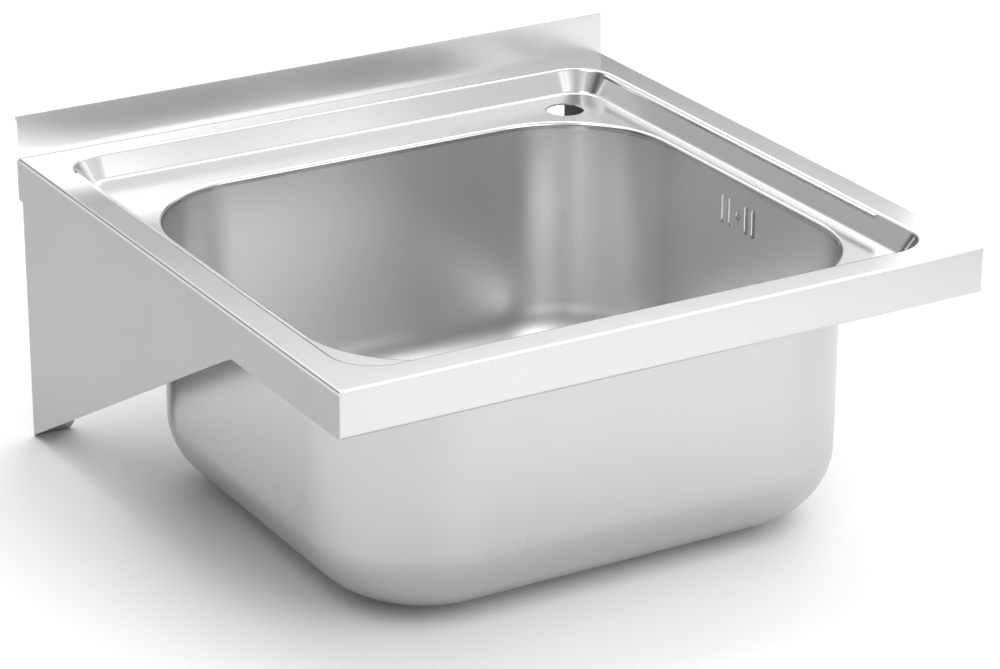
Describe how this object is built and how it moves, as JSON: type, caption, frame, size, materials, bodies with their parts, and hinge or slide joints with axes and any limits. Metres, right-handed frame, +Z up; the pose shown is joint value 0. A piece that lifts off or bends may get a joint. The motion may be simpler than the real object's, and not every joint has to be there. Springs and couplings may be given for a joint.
{
  "type": "hand wash sink",
  "caption": "Wall-hung stainless steel hand wash sink with a deep bowl, raised rim, tap hole, overflow slots, upstand and folded side brackets.",
  "frame": {"origin": "middle of the width and depth, level with the feet of the brackets", "axes": "+X to the user's right, +Y towards the wall, +Z up"},
  "size_m": [0.6, 0.6, 0.305],
  "materials": {
    "top_steel": "satin, brushed front to back",
    "bowl_steel": "satin",
    "panel_steel": "satin",
    "upstand_steel": "satin",
    "ledge_steel": "satin",
    "tag_steel": "mill finish"
  },
  "bodies": {
    "root": {"worktop": "top_steel", "upstand": "upstand_steel", "bowl": "bowl_steel", "side_panel_left": "panel_steel", "side_panel_right": "panel_steel", "ledge_left": "ledge_steel", "ledge_right": "ledge_steel", "earth_tag": "tag_steel"}
  },
  "joints": []
}
